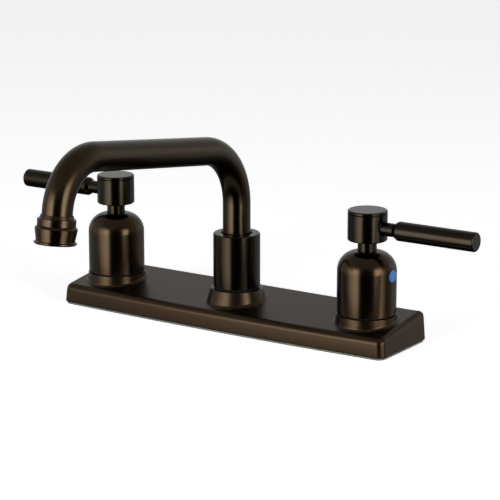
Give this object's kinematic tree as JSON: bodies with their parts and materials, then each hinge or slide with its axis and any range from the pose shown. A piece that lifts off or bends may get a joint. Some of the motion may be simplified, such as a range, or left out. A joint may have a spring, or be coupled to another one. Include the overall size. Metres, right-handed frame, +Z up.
{
  "type": "two handle kitchen faucet",
  "caption": "Deck mounted kitchen faucet: long bowed deck plate, thimble shaped bells with drum and bar lever handles, and a gooseneck spout whose arm rises to an aerator.",
  "frame": {"origin": "on the spout's axis, in the plane of the sink deck that the base gasket rests on", "axes": "+Z up along the spout's swivel axis, +X along the deck plate towards the cold handle, +Y to the back of the sink; the spout points to -Y at rest"},
  "size_m": [0.3608, 0.2355, 0.206],
  "materials": {
    "bronze": "oil rubbed bronze, dark brown satin over brass",
    "brass": "bare machined brass",
    "steel": "stainless, satin",
    "rubber": "black nitrile",
    "acetal": "white acetal, matt",
    "ceramic": "lapped alumina",
    "gasket": "pale grey foam rubber",
    "hot_red": "red gloss",
    "cold_blue": "blue gloss"
  },
  "bodies": {
    "base": {"base_gasket": "gasket", "deck_cover": "bronze", "hot_shank": "brass", "hot_deck_washer": "steel", "hot_lock_nut": "brass", "hot_valve_body": "brass", "hot_seat_seal": "rubber", "hot_fixed_disc": "ceramic", "hot_cartridge_body": "brass", "hot_cartridge_oring": "rubber", "hot_bonnet_nut": "brass", "hot_bell_seal": "rubber", "hot_bell": "bronze", "hot_index_button": "hot_red", "hot_crossover_tube": "brass", "cold_shank": "brass", "cold_deck_washer": "steel", "cold_lock_nut": "brass", "cold_valve_body": "brass", "cold_seat_seal": "rubber", "cold_fixed_disc": "ceramic", "cold_cartridge_body": "brass", "cold_cartridge_oring": "rubber", "cold_bonnet_nut": "brass", "cold_bell_seal": "rubber", "cold_bell": "bronze", "cold_index_button": "cold_blue", "cold_crossover_tube": "brass", "spout_body": "brass", "spout_collar_seal": "rubber", "spout_collar": "bronze", "spout_thrust_washer": "acetal", "spout_bearing": "acetal"},
    "hot_handle": {"hot_moving_disc": "ceramic", "hot_stem": "brass", "hot_stem_oring": "rubber", "hot_hub": "bronze", "hot_handle_screw": "steel", "hot_hub_cap": "bronze", "hot_lever": "bronze"},
    "cold_handle": {"cold_moving_disc": "ceramic", "cold_stem": "brass", "cold_stem_oring": "rubber", "cold_hub": "bronze", "cold_handle_screw": "steel", "cold_hub_cap": "bronze", "cold_lever": "bronze"},
    "spout": {"spout_sleeve": "brass", "spout_oring_lower": "rubber", "spout_oring_upper": "rubber", "spout_tube": "bronze", "spout_tip_adapter": "bronze", "aerator_housing": "bronze", "aerator_washer": "rubber", "aerator_screen": "steel", "aerator_insert": "acetal"}
  },
  "joints": [
    {"name": "hot_handle_turn", "type": "hinge", "parent": "base", "child": "hot_handle", "pos_m": [-0.1016, 0, 0.08], "axis": [0, 0, 1], "range_deg": [0, 90]},
    {"name": "cold_handle_turn", "type": "hinge", "parent": "base", "child": "cold_handle", "pos_m": [0.1016, 0, 0.08], "axis": [0, 0, 1], "range_deg": [-90, 0]},
    {"name": "spout_swivel", "type": "hinge", "parent": "base", "child": "spout", "pos_m": [0, 0, 0.05], "axis": [0, 0, 1], "continuous": true}
  ]
}
